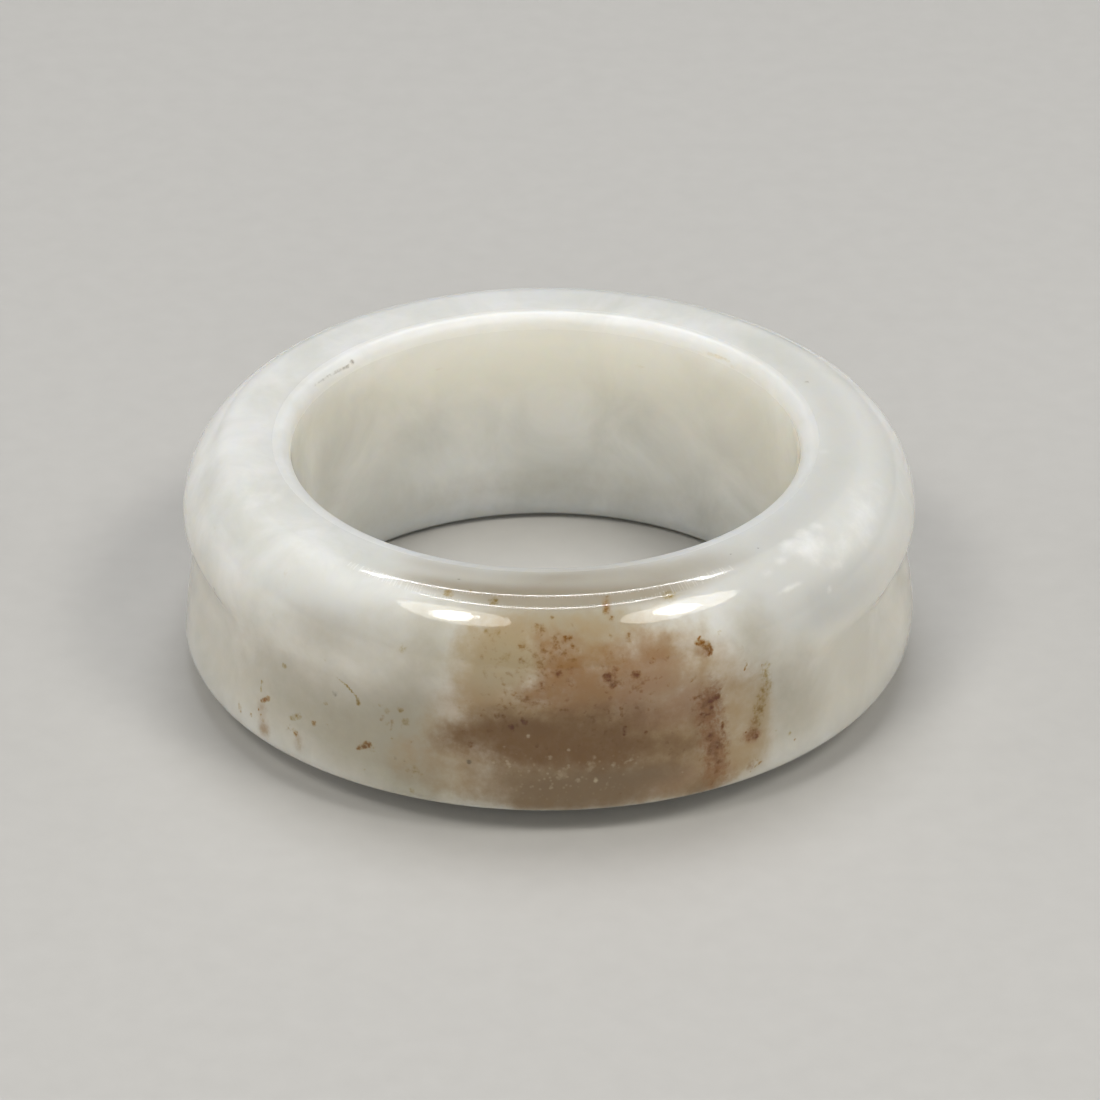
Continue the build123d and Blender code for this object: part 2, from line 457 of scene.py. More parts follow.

# %% [markdown]
# ## The stain chart
#
# Iron in the ground has stained the stone along its weak places. Such stains have no rule, so they are
# charted one by one. A place is an angle in degrees from the front (to the right is plus) and a girth in
# millimetres: about 3.5 is the lower rim, 6.7 the waist, 8 the upper rim, 11.6 the top face, and beyond
# 14 comes the wall of the hole.
#
# Noise alone would put them anywhere, and a painted picture would tie the script to another file. A
# chart puts them where they are. A soft patch has a place, a half width, a half height and a strength.

# %% Soft patches
PATCHES = {
    # Shade is painted shade for the most part: it darkens the flanks at the front and the sides, and the
    # shoulders, where less light falls. Its patches on the top at the front are greyer stone, and the one
    # low on the back wall of the hole is warmer stone.
    "shade": [(1, 10.4, 3.5, 0.7, 0.95), (6.5, 9.9, 1.6, 0.8, 0.8), (-41.3, 5.32, 2.8, 2.1, 0.6),
        (-31.3, 4.94, 2.0, 1.7, 0.8), (-21.2, 5.33, 1.7, 2.5, 0.95), (-27.9, 9.97, 1.5, 0.5, 0.1),
        (-17.7, 8.72, 1.1, 1.7, 0.5), (-24.4, 9.15, 1.5, 1.1, 0.3), (39.5, 5.85, 1.8, 2.1, 0.6),
        (33.1, 8.64, 1.1, 1.7, 0.55), (-54.7, 6.38, 3.0, 2.5, 0.3), (-35.6, 8.64, 1.9, 1.0, 0.45),
        (-16.1, 3.81, 1.4, 1.0, 0.4), (-21.5, 4.4, 1.5, 1.3, 1.0), (180, 20.8, 12, 1.3, 0.35),
        (42, 4.6, 2.0, 1.2, 0.25)],
    "dusk": [(-17.1, 11.65, 2.3, 0.5, 0.5), (-4.3, 11.22, 2.3, 0.4, 0.9), (7.6, 11.18, 2.3, 0.4, 0.9),
        (19.8, 11.15, 1.9, 0.4, 0.7), (0.8, 11.6, 4.6, 0.6, 0.85), (2.8, 12.7, 5.0, 0.9, 0.65),
        (-23.2, 12.71, 1.6, 0.5, 0.3), (25.8, 12.11, 2.3, 0.8, 0.45), (37.7, 11.51, 1.1, 0.6, 0.2)],
    "tan": [(-6.9, 9.2, 1.5, 1.3, 0.9), (-3.9, 6.35, 2.3, 1.7, 0.95), (6.8, 9.0, 1.6, 1.3, 0.55),
        (8.5, 6.29, 2.4, 1.7, 0.95), (17.5, 8.36, 1.5, 2.0, 0.8), (19.4, 5.23, 1.8, 1.7, 0.95),
        (2.2, 3.93, 3.6, 1.0, 0.9), (22.4, 3.72, 1.4, 1.0, 0.8), (-13.1, 5.45, 0.9, 1.5, 0.5),
        (-13.7, 3.9, 1.1, 0.9, 0.2), (25.1, 7.52, 0.8, 1.9, 0.6), (0.8, 10.3, 2.2, 0.5, 0.2),
        (8.7, 10.09, 0.8, 0.5, 0.2), (34.3, 5.5, 0.6, 1.7, 0.8), (30, 6.3, 0.8, 2.0, 0.7),
        (31, 4.0, 1.1, 1.0, 0.75), (-9.8, 7.72, 1.0, 0.9, 0.7), (-22.3, 4.56, 0.7, 0.8, 0.4),
        (-18, 5.83, 0.7, 0.9, 0.25)],
    "olive": [(-7, 9.5, 1.2, 0.8, 0.65), (-3.8, 8.86, 1.2, 0.9, 0.7), (-8.3, 8.43, 1.0, 1.0, 0.7),
        (0, 9.57, 1.0, 0.8, 0.3), (-12.3, 9.07, 0.7, 1.1, 0.4), (34.9, 5.82, 0.4, 1.5, 0.5),
        (34, 4.95, 0.3, 0.5, 0.4), (32.4, 6.38, 0.6, 1.8, 0.3), (24.6, 9.5, 0.5, 0.4, 0.35),
        (-16.6, 11.14, 0.3, 0.2, 0.4), (21.2, 10.89, 0.4, 0.2, 0.5), (-35.6, 5.77, 1.3, 0.5, 0.1)],
    "rust": [(-1.6, 10.16, 0.8, 0.4, 0.1), (1, 9.57, 0.8, 0.6, 0.6), (9.7, 9.1, 0.5, 0.6, 0.4),
        (27.4, 3.3, 0.8, 0.5, 0.4), (25.5, 3.2, 0.8, 0.5, 0.6), (33.3, 4.9, 0.35, 0.6, 0.5),
        (3, 8.76, 0.8, 0.7, 0.9), (6.7, 7.87, 1.0, 0.9, 0.8), (0, 7.71, 1.0, 0.7, 0.8),
        (10.2, 10.86, 0.2, 0.5, 0.55), (4.1, 9.73, 0.4, 0.3, 0.3), (24.6, 8.85, 0.4, 0.4, 0.45),
        (13.9, 8.26, 0.4, 0.6, 0.5), (9.7, 8.22, 0.5, 0.8, 0.65), (-49.0, 3.5, 0.4, 0.5, 0.6),
        (-49.6, 4.3, 0.3, 0.4, 0.35), (-41.4, 3.7, 0.3, 0.5, 0.4), (-28.6, 4.5, 0.4, 0.25, 0.35),
        (4.6, 6.99, 1.1, 0.6, 0.6)],
    "pink": [(14.5, 9.01, 1.1, 0.9, 0.35), (16.7, 8.39, 1.2, 1.2, 0.6), (12.1, 7.47, 1.2, 1.1, 0.8),
        (21.5, 6.63, 1.2, 1.2, 0.8), (19.2, 3.68, 1.6, 0.7, 0.7), (14.4, 3.47, 2.2, 0.6, 0.5),
        (27.4, 3.54, 1.0, 0.6, 0.4), (-19.4, 5.04, 1.2, 0.8, 0.25), (14.9, 6.31, 1.5, 0.6, 0.7)],
    "umber": [(26.1, 4.81, 0.5, 1.2, 0.75), (25.7, 6.4, 0.5, 1.1, 0.85), (27.8, 4.32, 0.3, 1.0, 0.5),
        (32.9, 4.67, 0.4, 0.3, 0.75), (32.8, 3.44, 0.3, 0.3, 0.3), (25.1, 8.75, 0.3, 0.3, 0.4),
        (26.1, 3.3, 0.4, 0.6, 0.3)],
    "smoke": [(-11.6, 5.78, 0.9, 0.6, 0.65), (-7, 6.0, 1.2, 0.95, 0.85), (-1.6, 5.75, 1.2, 1.0, 0.93),
        (4.6, 5.85, 1.3, 1.0, 0.93), (10, 5.8, 1.2, 1.0, 0.8), (15.4, 5.38, 1.1, 0.7, 0.5),
        (20.9, 4.86, 1.0, 0.7, 0.5), (0.7, 5.19, 2.4, 0.5, 0.7), (24.3, 5.18, 0.6, 0.8, 0.4),
        (-14.7, 5.47, 0.8, 0.6, 0.5), (12.5, 6.9, 1.2, 0.6, 0.2), (20.5, 6.3, 1.2, 0.7, 0.35),
        (11.4, 5.05, 1.8, 0.6, 0.55)],
    "beige": [(-9.9, 4.4, 1.7, 0.7, 0.35), (-0.8, 3.93, 2.1, 0.9, 0.8), (8.3, 3.85, 2.1, 1.0, 1),
        (2.2, 3.23, 2.8, 0.5, 0.9), (16, 4.02, 1.8, 0.7, 0.65), (-16.1, 3.41, 1.4, 0.6, 0.1),
        (-22.5, 3.9, 1.4, 0.9, 0.2), (24.1, 3.08, 1.0, 0.6, 0.6)],
    "freckle": [(0.4, 9.23, 1.0, 1.1, 0.9), (-3.8, 7.4, 1.7, 0.8, 0.8), (10, 8.21, 0.5, 0.9, 0.9),
        (13.9, 8.02, 0.4, 0.6, 0.8), (24.9, 6.45, 0.5, 0.9, 0.9), (26.5, 4.67, 0.5, 1.2, 1),
        (32.9, 4.63, 0.3, 0.4, 0.9), (32.8, 3.44, 0.3, 0.3, 0.7), (-10.1, 9.64, 0.9, 0.7, 0.5),
        (-6.1, 8.66, 1.0, 0.7, 0.6), (17.5, 8.36, 0.9, 1.0, 0.5), (-24.8, 5.9, 0.6, 0.7, 0.6),
        (-42, 3.97, 0.5, 0.3, 0.4), (-20.2, 3.91, 0.3, 0.3, 0.7), (-7, 6.5, 1.1, 0.6, 0.7),
        (8.5, 6.47, 1.4, 0.8, 0.7), (15.6, 6.91, 0.6, 0.8, 0.6), (27.4, 3.62, 0.4, 0.8, 0.6),
        (17.7, 5.11, 1.5, 0.7, 0.5), (2.2, 5.63, 2.1, 0.5, 0.5)],
    "fleck": [(6.8, 4.54, 1.4, 0.5, 1), (0, 4.21, 1.2, 0.6, 0.9), (-6.1, 4.85, 1.0, 0.4, 0.7),
        (2.2, 3.72, 2.1, 0.4, 0.5), (12.1, 4.54, 0.9, 0.5, 0.5), (-11.5, 5.12, 0.8, 0.4, 0.3)],
    # Mist greys the stone in broad patches on the right of the top and on the shoulders.
    "mist": [(40, 11, 4, 1.6, 0.6), (60, 12.3, 5, 1.3, 0.45), (80, 10, 4, 1.6, 0.35),
        (90, 12.3, 5, 1.3, 0.35), (120, 12.3, 5, 1.2, 0.4), (50, 8.8, 4, 1.2, 0.75),
        (-20, 9.6, 3, 1.2, 0.3), (-36, 9.2, 3, 1.2, 0.55)],
    # Glow is painted light: it makes the wall of the hole paler, most at the back just below the mouth and
    # on the right, where light comes through the stone.
    "glow": [(180, 15.0, 8, 1.8, 0.8), (180, 17, 14, 3.5, 0.15), (100, 16.5, 7, 3.5, 0.5),
        (-100, 16.5, 7, 3.5, 0.15)],
    "wisp": [(50.2, 10.8, 0.6, 0.5, 0.9), (52.1, 11.4, 0.35, 0.3, 0.6), (55.3, 11.3, 0.3, 0.25, 0.4),
        (43.4, 10.9, 0.3, 0.2, 0.5), (42.4, 9.9, 0.6, 0.12, 0.8), (49.8, 9.2, 0.2, 0.15, 0.5),
        (65.7, 10.6, 0.6, 0.4, 0.5), (63.5, 9.8, 0.5, 0.3, 0.4), (80.5, 9.5, 0.12, 0.4, 0.6),
        (83, 12.8, 0.5, 0.3, 0.4), (76.5, 13.2, 0.4, 0.2, 0.4), (39.6, 10.7, 0.3, 0.2, 0.4),
        (47.6, 11.3, 0.6, 0.3, 0.5), (53.7, 9.9, 0.5, 0.25, 0.4), (58, 10.4, 1.6, 0.7, 0.35),
        (72, 10.6, 1.6, 0.9, 0.3), (-66.5, 11.5, 0.8, 0.6, 0.5), (-50.8, 12, 0.7, 0.5, 0.4),
        (-64.7, 12.3, 0.5, 0.3, 0.4), (150, 12.6, 3, 1, 0.3)],
}
print(sum(len(patches) for patches in PATCHES.values()), "soft patches of", len(PATCHES), "kinds")

# %% [markdown]
# A mark is a path of places, each with a half width and a strength, and a speck is a path of one place.
# Red ones are fresh rust, olive ones are older, grey ones are pits, warm ones are faint specks in the
# hole, and pale ones are flecks of another mineral.

# %% Marks
MARKS = {
    "red_mark": [
        [(-49.7, 4.48, 0.08, 0.9), (-47.9, 4.79, 0.1, 1)],
        [(-55.6, 3.76, 0.09, 0.7), (-55.3, 3.46, 0.1, 0.7)], [(-52.3, 3.63, 0.1, 0.55)],
        [(-50.6, 4.14, 0.04, 0.9), (-49.7, 3.86, 0.04, 0.9)],
        [(-49.2, 3.69, 0.15, 0.25), (-48.3, 3.33, 0.11, 0.15)], [(-38.1, 4.7, 0.12, 0.95)],
        [(-35.5, 4.85, 0.07, 0.6)], [(-42, 3.96, 0.15, 0.8)],
        [(-41.5, 3.8, 0.07, 0.4), (-40.5, 3.28, 0.06, 0.2)],
        [(-29.9, 4.31, 0.07, 0.8), (-27.9, 4.63, 0.13, 1)], [(-28.7, 3.52, 0.09, 0.4)],
        [(-27.1, 3.81, 0.07, 0.35)], [(-20.8, 5.14, 0.11, 0.3)],
        [(-1.6, 10.16, 0.15, 0.4), (-0.5, 10.09, 0.15, 0.45)], [(1.1, 10.54, 0.07, 0.8)],
        [(1.4, 9.74, 0.15, 0.5), (1.8, 9.54, 0.15, 0.4)], [(-3.5, 9.53, 0.18, 0.45)],
        [(-0.9, 8.84, 0.17, 0.5)], [(-0.5, 8.13, 0.15, 0.4)], [(2, 8.55, 0.15, 0.75)],
        [(0.7, 9.37, 0.15, 0.35)], [(-4.5, 7.74, 0.15, 0.4)],
        [(3.1, 9.78, 0.11, 0.6), (4, 9.82, 0.09, 0.6)], [(4.2, 9.52, 0.11, 0.5)],
        [(5.3, 9.34, 0.13, 0.35)], [(3.7, 8.68, 0.15, 0.4)], [(3.8, 8.16, 0.13, 0.35)],
        [(9.4, 8.32, 0.17, 0.9)], [(10.2, 8.01, 0.15, 0.85)], [(13.7, 8.3, 0.17, 0.95)],
        [(13.9, 7.86, 0.11, 0.7)], [(10.9, 8.61, 0.11, 0.5)], [(10, 9.23, 0.11, 0.45)],
        [(12.8, 9.55, 0.13, 0.5)], [(13.1, 9.78, 0.09, 0.4)], [(10.1, 9.78, 0.1, 0.45)],
        [(16.4, 8.73, 0.13, 0.5)], [(18.6, 7.75, 0.11, 0.35)], [(23.4, 6.83, 0.15, 0.6)],
        [(-7.4, 6.67, 0.09, 0.7)], [(-6.2, 6.67, 0.08, 0.5)],
        [(-3.5, 6.58, 0.09, 0.8), (-3.1, 6.43, 0.11, 0.9)], [(-5.2, 6.2, 0.13, 0.8)],
        [(-8.4, 6.01, 0.11, 0.45)], [(-12.3, 5.85, 0.11, 0.45)], [(-11.3, 5.43, 0.18, 0.4)],
        [(-1.3, 5.5, 0.07, 0.7)], [(-9.7, 6.62, 0.08, 0.4)], [(-13.2, 6.85, 0.07, 0.4)],
        [(2.3, 6.98, 0.07, 0.7), (3.4, 6.97, 0.07, 0.7)],
        [(11.5, 6.95, 0.07, 0.6), (11.7, 6.6, 0.07, 0.6)], [(15.8, 6.71, 0.07, 0.5)],
        [(12.1, 6.1, 0.07, 0.8), (12, 5.81, 0.07, 0.8)], [(15.3, 5.79, 0.08, 0.9)],
        [(11.3, 3.42, 0.09, 0.5)],
        [(23.6, 9.1, 0.09, 0.9), (24.4, 9.08, 0.12, 1), (25.2, 8.93, 0.14, 1), (25.8, 8.71, 0.1, 1),
         (25.5, 8.59, 0.08, 1)], [(24.4, 9.24, 0.08, 0.8)],
        [(31.6, 7.97, 0.04, 0.7), (31.8, 7.79, 0.05, 0.8), (31.5, 7.57, 0.05, 0.8)],
        [(34.9, 7.21, 0.05, 0.6), (34.8, 7.58, 0.05, 0.5)], [(35.7, 6.74, 0.07, 0.5)],
        [(31.9, 4.86, 0.07, 0.7)], [(32.5, 4.55, 0.08, 0.6)], [(33.8, 4.55, 0.1, 0.9)],
        [(33.4, 4.83, 0.07, 0.5)], [(33.7, 3.33, 0.06, 0.7), (34.8, 3.45, 0.06, 0.7)],
        [(33.2, 3.78, 0.04, 0.5), (34.2, 3.5, 0.04, 0.5)], [(32.8, 3.21, 0.08, 0.5)],
        [(22.3, 7.68, 0.07, 0.5), (23.1, 7.85, 0.07, 0.4)], [(27.4, 6.94, 0.08, 0.7)],
        [(25.9, 6.57, 0.12, 0.9), (27.2, 6.67, 0.12, 0.9)], [(25.9, 6.25, 0.13, 0.7)],
        [(24.3, 6.12, 0.07, 0.95), (25.7, 6.01, 0.07, 0.95)],
        [(23.9, 5.72, 0.07, 0.8), (24.7, 5.86, 0.07, 0.8)],
        [(27.9, 5.57, 0.07, 0.9), (27.8, 5.32, 0.07, 0.9)], [(25.7, 5.1, 0.15, 0.8)],
        [(27.2, 4.87, 0.11, 0.6)], [(26.9, 4.65, 0.15, 0.6)], [(25.6, 4.45, 0.13, 0.6)],
        [(27.5, 4.03, 0.15, 0.6)], [(10.5, 11.2, 0.11, 0.4), (9.8, 10.68, 0.15, 0.55)],
        [(10.8, 10.4, 0.11, 0.5)], [(41.3, 3.79, 0.09, 0.3)],
    ],
    "olive_mark": [
        [(-44.6, 6.44, 0.12, 0.8)], [(-35.8, 7.61, 0.07, 0.45)],
        [(-49.6, 5.33, 0.07, 0.5), (-49.9, 4.87, 0.08, 0.45)],
        [(-42.8, 4.49, 0.12, 0.55), (-41, 4.75, 0.12, 0.6)], [(-35.9, 5.71, 0.11, 0.6)],
        [(-27.1, 4.48, 0.15, 0.3)], [(-22.5, 8.86, 0.15, 0.35), (-21.9, 9.09, 0.11, 0.35)],
        [(-26, 6.35, 0.11, 0.35)], [(-24.8, 6.17, 0.13, 0.35)], [(-24.7, 5.68, 0.1, 0.4)],
        [(-25.2, 5.32, 0.08, 0.3)], [(-22.6, 6.35, 0.12, 0.6)], [(-21.7, 5.91, 0.14, 0.95)],
        [(-24, 5.12, 0.07, 0.35)], [(-20.2, 4.03, 0.22, 0.35)], [(-19.7, 4.1, 0.07, 0.6)],
        [(-21.5, 3.93, 0.07, 0.5)], [(-20.2, 3.73, 0.07, 0.5)], [(-18.9, 3.9, 0.07, 0.4)],
        [(-20.6, 3.16, 0.15, 0.3)],
        [(-35.8, 7.32, 0.03, 0.25), (-33.5, 6.89, 0.04, 0.6), (-32, 6.73, 0.05, 0.9),
         (-30.1, 6.38, 0.06, 0.9), (-29.8, 6.16, 0.1, 1)], [(-16.6, 11.24, 0.18, 0.6)],
        [(-8.7, 11.1, 0.17, 0.75)], [(-13, 11.43, 0.15, 0.3)], [(21.1, 10.94, 0.22, 0.6)],
        [(-9.1, 9.91, 0.15, 0.4)], [(-7.2, 9.94, 0.18, 0.35)], [(-9, 8.57, 0.15, 0.35)],
        [(-6.1, 9.1, 0.22, 0.35)], [(27.7, 9.26, 0.09, 0.6)], [(30.9, 8.49, 0.11, 0.35)],
        [(35.6, 7.4, 0.2, 0.4), (35.8, 6.46, 0.28, 0.5), (34.9, 5.91, 0.28, 0.6), (34.0, 5.3, 0.25, 0.6),
         (33.4, 4.9, 0.2, 0.5)], [(32.2, 5.12, 0.07, 0.5)], [(37.5, 4.47, 0.08, 0.5)],
        [(40.3, 4.14, 0.1, 0.7)], [(-47.1, 10.05, 0.18, 0.2)], [(-45.9, 9.65, 0.15, 0.15)],
        [(-46.4, 8.47, 0.11, 0.25)], [(-47.6, 7.79, 0.11, 0.2)], [(-67.4, 9.63, 0.18, 0.12)],
    ],
    "grey_mark": [
        [(-34.2, 6.21, 0.15, 0.35)], [(-23.3, 4.32, 0.09, 0.45)], [(-21.8, 4.32, 0.07, 0.4)],
        [(-63.9, 7.63, 0.09, 0.9)], [(-63.3, 6.99, 0.07, 0.4)], [(-57.2, 6.16, 0.05, 0.9)],
        [(-85, 12.18, 0.06, 0.6)], [(-11.6, 4.7, 0.1, 0.8)], [(-16.2, 12.14, 0.06, 0.7)],
        [(-1, 12.21, 0.07, 0.4)], [(42.3, 11.85, 0.06, 0.9)], [(36.9, 12.11, 0.06, 0.6)],
        [(-129.9, 13.62, 0.11, 0.8)], [(-128.5, 13.69, 0.07, 0.5), (-118.2, 13.51, 0.07, 0.25)],
        [(113, 12.47, 0.11, 0.5)],
    ],
    "warm_mark": [
        [(-154.6, 15.11, 0.22, 0.3)], [(164, 17.33, 0.18, 0.35)], [(157.5, 15.21, 0.22, 0.3)],
        [(139.6, 13.82, 0.07, 0.6), (134.8, 13.76, 0.07, 0.5)], [(131.6, 13.97, 0.15, 0.3)],
        [(-162.4, 19.45, 0.07, 0.4)],
    ],
    "pale_mark": [
        [(-12, 6.17, 0.07, 0.5)], [(-16.5, 5.49, 0.07, 0.5)], [(-2.6, 5.9, 0.08, 0.9)],
        [(-6.2, 5.41, 0.07, 0.5)], [(-7.8, 4.75, 0.07, 0.6)],
        [(-5.8, 4.82, 0.07, 0.9), (-5.3, 4.67, 0.07, 0.9)], [(-8.8, 5.03, 0.06, 0.5)],
        [(0.7, 5.05, 0.09, 0.7)], [(0.4, 4.4, 0.07, 0.6)], [(2.3, 4.34, 0.22, 0.5)],
        [(0.9, 3.83, 0.09, 0.7)], [(-1.7, 4.7, 0.07, 0.6)], [(-2.5, 4.47, 0.07, 0.5)],
        [(3.5, 5.33, 0.08, 0.6)], [(7.4, 4.99, 0.09, 0.7)], [(6.8, 4.65, 0.22, 0.45)],
        [(7.6, 4.06, 0.09, 1)], [(4.9, 4.1, 0.11, 0.6)], [(3.4, 4.67, 0.09, 0.6)],
        [(10.3, 4.62, 0.09, 0.6)], [(12, 4.66, 0.07, 0.6), (13.2, 4.79, 0.07, 0.6)],
        [(9.4, 3.87, 0.08, 0.5)], [(9.8, 4.11, 0.07, 0.5)], [(21.1, 3.91, 0.07, 0.5)],
        [(21.7, 4.72, 0.06, 0.5)],
    ],
}
print(sum(len(paths) for paths in MARKS.values()), "marks of", len(MARKS), "kinds")

# %% [markdown]
# The chart becomes numbers on the ring's points, which the material reads. First we need to know where
# each point is: its angle and its girth, which the tree kept, and how far out it lies.

# %% Measure the ring's points
spots = points_of(ring.data)
out = np.hypot(spots[:, 0], spots[:, 1])


def kept(name):
    """One number for each point of the ring, as the tree or the chart stored it."""
    values = np.empty(len(spots), dtype=np.float32)
    ring.data.attributes[name].data.foreach_get("value", values)
    return values.astype(float)


def store(name, values):
    """Keeps one number for each point of the ring, for the material to read."""
    layer = ring.data.attributes.new(name, "FLOAT", "POINT")
    layer.data.foreach_set("value", np.ascontiguousarray(values, dtype=np.float32))


bearing_of = np.degrees(kept("angle"))
girth_of = kept("girth")
print(len(spots), "points, angles from", round(bearing_of.min()), "to", round(bearing_of.max()), "degrees")

# %% [markdown]
# Distances are measured on the surface laid flat: the way round is the angle times the radius, and the
# way up is the girth. A patch is a soft hill from one down to nothing, and where two overlap they
# strengthen each other without going past one.


# %% Paint the soft patches
def laid_flat(angle_deg, girth):
    """How far every point lies round and up from a place, in millimetres."""
    turn = np.radians((bearing_of - angle_deg + 180) % 360 - 180)
    return turn * out, girth_of - girth


for name, patches in PATCHES.items():
    bare = np.ones(len(spots))
    for angle_deg, girth, half_width, half_height, strength in patches:
        across, above = laid_flat(angle_deg, girth)
        bare *= 1 - strength * np.exp(-((across / half_width) ** 2 + (above / half_height) ** 2))
    store(name, 1 - bare)
print("painted", ", ".join(PATCHES))

# %% [markdown]
# A mark goes on falling below nothing outside its border, which lets a noise in the material draw that
# border ragged without making new specks.

# %% Paint the marks
BORDER = 1.5          # half widths from the middle of a mark to its border
FALL = 0.9            # loss of strength for each half width, inside the border
MEAN_RADIUS = 13      # millimetres, to turn the angle between two places into a length


def mark_strength(path):
    """Full strength on a path of places, falling off beside it, and below zero past the border."""
    best = np.full(len(spots), -1.0)
    for one, two in zip(path, path[1:] or path):
        across, above = laid_flat(*one[:2])
        far, high = math.radians(two[0] - one[0]) * MEAN_RADIUS, two[1] - one[1]
        along = np.clip((across * far + above * high) / max(far ** 2 + high ** 2, 1e-9), 0, 1)
        gap = np.hypot(across - along * far, above - along * high)
        half_width = one[2] + along * (two[2] - one[2])
        strength = one[3] + along * (two[3] - one[3])
        left = BORDER - gap / half_width
        best = np.maximum(best, np.where(left > 0, strength * np.minimum(left * FALL, 1), left))
    return best


for name, paths in MARKS.items():
    store(name, np.max([mark_strength(path) for path in paths], axis=0))
print("painted", ", ".join(MARKS))

# %% [markdown]
# The clean stone is cooler and whiter on top, a painted sheen of cool light, and warmer lower down
# and, a little, in the hole. The mouth of the hole is duller, because that is where a finger and its
# neighbours rub it.

# %% Where the stone is warmer below its painted sheen, and where it is worn
MOUTH_GIRTH = 13.5    # millimetres of girth at the mouth of the hole
WORN_WIDTH = 0.6
HOLE_WARMTH = 0.25


def ramp(values, nothing, full):
    """From zero where the value is nothing to one where it is full."""
    return np.clip((values - nothing) / (full - nothing), 0, 1)


# The stone turns warm lower down; above that, the cooler and whiter top is a painted sheen.
lower_down = ramp(spots[:, 2], 7.6, 3.1) * ramp(out, 11.0, 11.6)
store("ivory_below_sheen", np.maximum(lower_down, ramp(out, 9.6, 9.3) * HOLE_WARMTH))
store("worn", np.exp(-((girth_of - MOUTH_GIRTH) / WORN_WIDTH) ** 2))
print(round(100 * kept("ivory_below_sheen").mean()), "% of full warmth on average")

# %% [markdown]
# ## Nephrite, ground and polished
#
# Nephrite is a felt of fine fibres that light enters and wanders through, so it looks milky and deep.
# Its IOR is about 1.61. Grinding with wet sand and a last rub with fine grit leave it glossy, with a
# faint unevenness that shows only in the highlights. Colours are picked as sRGB hex values, and this
# function turns them into the linear numbers that Blender works with.


# %% Colours
def colour(hex_code):
    """Linear colour of an sRGB hex value."""
    parts = [int(hex_code[k:k + 2], 16) / 255 for k in (1, 3, 5)]
    return [v / 12.92 if v <= 0.04045 else ((v + 0.055) / 1.055) ** 2.4 for v in parts] + [1]


print("the milk white of the stone is", [round(v, 2) for v in colour("#E8E9E7")[:3]])

# %% [markdown]
# Patterns are read in object coordinates, in millimetres: the Mapping node multiplies metres by 1000,
# so a noise scale of 1 means features about a millimetre wide. Clouds in the stone are 2 to 5 mm wide.
# The real fibres are too fine to show, so their felt is drawn as coarse as a mottle of 0.3 mm.

# %% Coordinates and grain
jade.use_nodes = True
stone = jade.node_tree
stone.nodes.clear()
where = put(stone, "ShaderNodeTexCoord")
mm = put(stone, "ShaderNodeMapping", {"Vector": where.outputs["Object"], "Scale": [1 / MM] * 3})
clouds = put(stone, "ShaderNodeTexNoise",
             {"Vector": mm, "Scale": 0.3, "Detail": 5.0, "Roughness": 0.55, "Distortion": 0.6})
grain = put(stone, "ShaderNodeTexNoise", {"Vector": mm, "Scale": 1.4, "Detail": 4.0, "Roughness": 0.6})
felt = put(stone, "ShaderNodeTexNoise", {"Vector": mm, "Scale": 4.5, "Detail": 3.0, "Roughness": 0.65})

# %% [markdown]
# The clean stone is cool milk white on top, which is a painted sheen of cool light over it, and a
# warmer cream lower down and in the hole. Clouds shift it a little towards grey and towards white.

# %% The clean stone
read_ivory_below_sheen = put(stone, "ShaderNodeAttribute", attribute_name="ivory_below_sheen")
tone = put(stone, "ShaderNodeMapRange", {"Value": clouds, "From Min": 0.35, "From Max": 0.65})
milk = put(stone, "ShaderNodeMix", {"Factor": tone, "A": colour("#D5D7D3"), "B": colour("#E8E9E7")},
           data_type="RGBA")
cream = put(stone, "ShaderNodeMix", {"Factor": tone, "A": colour("#CFCCC0"), "B": colour("#DEDBD1")},
            data_type="RGBA")
# The milk white on top is a painted sheen of cool light; below it the stone is warm cream.
body = put(stone, "ShaderNodeMix", {"Factor": read_ivory_below_sheen.outputs["Fac"], "A": milk, "B": cream},
           data_type="RGBA")

# %% [markdown]
# Every stain is one layer. Its painted strength is roughened by a noise, so its border frays as a real
# stain's does, and a soft step turns that into a mask between the colour below and its own. The mask
# stays empty where nothing is painted, so the noise can't make stains of its own.


# %% One layer of stain
PAINTED = (0.02, 0.25)    # painted strengths at which a layer may start and may show in full


def stain(below, name, own, noise, fray, start, full, amount=1.0, blend="MIX"):
    """The colour below with one painted stain over it, frayed by a noise, from start to full strength."""
    painted = put(stone, "ShaderNodeAttribute", attribute_name=name)
    rough = put(stone, "ShaderNodeMath", {0: noise, 1: fray, 2: -fray / 2}, operation="MULTIPLY_ADD")
    rough = put(stone, "ShaderNodeMath", {0: painted.outputs["Fac"], 1: rough}, operation="ADD")
    mask = put(stone, "ShaderNodeMapRange",
               {"Value": rough, "From Min": start, "From Max": full, "To Max": amount},
               interpolation_type="SMOOTHSTEP")
    here = put(stone, "ShaderNodeMapRange",
               {"Value": painted.outputs["Fac"], "From Min": PAINTED[0], "From Max": PAINTED[1]})
    mask = put(stone, "ShaderNodeMath", {0: mask, 1: here}, operation="MULTIPLY")
    return put(stone, "ShaderNodeMix", {"Factor": mask, "A": below, "B": colour(own)},
               data_type="RGBA", blend_type=blend)


# %% [markdown]
# The first layers make the stone greyer in broad patches, add white wisps that are clouds in the
# clean stone, and paint a glow of light that makes the wall of the hole paler. The stains follow,
# roughly from the widest and palest to the narrowest and darkest; the first of them, shade, is mostly
# painted shade.

# %% Lay the soft stains over the stone
# Mist greys the stone in broad patches on the top right and the shoulders.
body = stain(body, "mist", "#C4C6C4", clouds, 0.8, 0.0, 1.0)
body = stain(body, "wisp", "#F3F4F2", grain, 1.2, 0.05, 1.1, 0.7)
